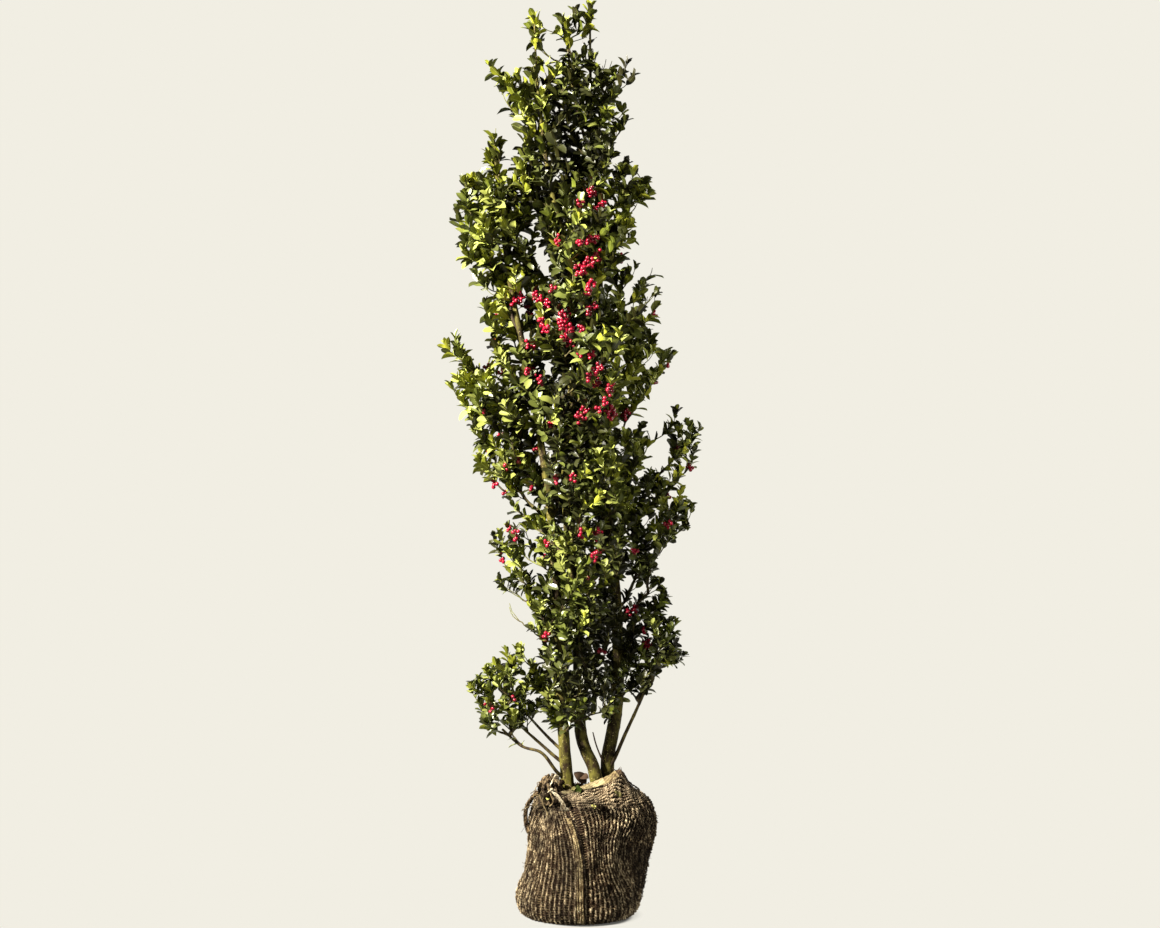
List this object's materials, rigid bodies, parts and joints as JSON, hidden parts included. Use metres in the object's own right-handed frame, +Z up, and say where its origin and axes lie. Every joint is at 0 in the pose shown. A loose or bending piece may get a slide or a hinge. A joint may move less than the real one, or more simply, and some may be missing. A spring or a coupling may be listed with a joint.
{
  "type": "holly sapling with root ball",
  "caption": "Tall narrow holly sapling with upright stems, small glossy evergreen leaves and red berries, standing on a root ball wrapped in knitted jute cloth.",
  "frame": {"origin": "middle of the root ball's flat underside, on the ground", "axes": "+Z up along the stems, +X to the plant's right as seen from its front, +Y to its back"},
  "size_m": [0.624, 0.4931, 2.1938],
  "materials": {
    "ball_cloth": "coarse knitted jute cloth drawn tight over moist soil",
    "cloth_trim": "folded hem and frayed yarn of the jute cloth",
    "stem_bark": "smooth olive green bark with pale specks, browner in the shade",
    "bough_bark": "thin brown green bark",
    "dead_wood": "dry dark twig",
    "leaves_dark": "glossy dark green evergreen leaves",
    "leaves_mid": "glossy mid green evergreen leaves",
    "leaves_young": "glossy yellow green young leaves",
    "berries": "smooth glossy red berries"
  },
  "bodies": {
    "root": {"back_tuft_lower": "leaves_dark", "back_tuft_upper": "leaves_dark", "body_lower_back": "leaves_dark", "body_lower_front": "leaves_mid", "body_middle_back": "leaves_dark", "body_middle_front": "leaves_mid", "bough_left_high": "bough_bark", "bough_left_low": "bough_bark", "bough_left_mid": "bough_bark", "bough_right_low": "bough_bark", "bough_top_fork": "bough_bark", "cloth_collar": "cloth_trim", "cloth_flap_left": "cloth_trim", "cloth_knot_left": "cloth_trim", "cloth_lap_edge": "cloth_trim", "foot_leaves_back": "leaves_dark", "foot_leaves_front": "leaves_dark", "front_tuft": "leaves_mid", "heart_middle_back": "leaves_dark", "heart_middle_front": "leaves_mid", "heart_upper_back": "leaves_dark", "heart_upper_front": "leaves_mid", "leader_left": "leaves_young", "leader_middle": "leaves_young", "leader_right": "leaves_young", "left_berry_tuft": "leaves_mid", "left_flank": "leaves_mid", "left_foot": "leaves_mid", "left_lower_middle": "leaves_mid", "left_lower_tip": "leaves_mid", "left_middle": "leaves_mid", "left_shoulder": "leaves_young", "left_tip": "leaves_young", "left_upright_shoot": "leaves_young", "left_waist_tip": "leaves_mid", "right_flank_lower": "leaves_dark", "right_flank_upper": "leaves_mid", "right_horn": "leaves_dark", "right_lower": "leaves_dark", "right_middle": "leaves_dark", "right_neck_shoot": "leaves_young", "right_shoulder": "leaves_mid", "right_skirt_lower": "leaves_mid", "right_skirt_upper": "leaves_dark", "root_ball": "ball_cloth", "skirt_back": "leaves_dark", "skirt_front": "leaves_dark", "snag": "dead_wood", "stem_left": "stem_bark", "stem_middle": "stem_bark", "stem_right": "stem_bark", "top_crown": "leaves_mid", "top_left_shoot": "leaves_young", "top_right_shoot": "leaves_young", "upper_crown": "leaves_mid", "waist_back": "leaves_dark", "waist_front": "leaves_mid"}
  },
  "joints": []
}
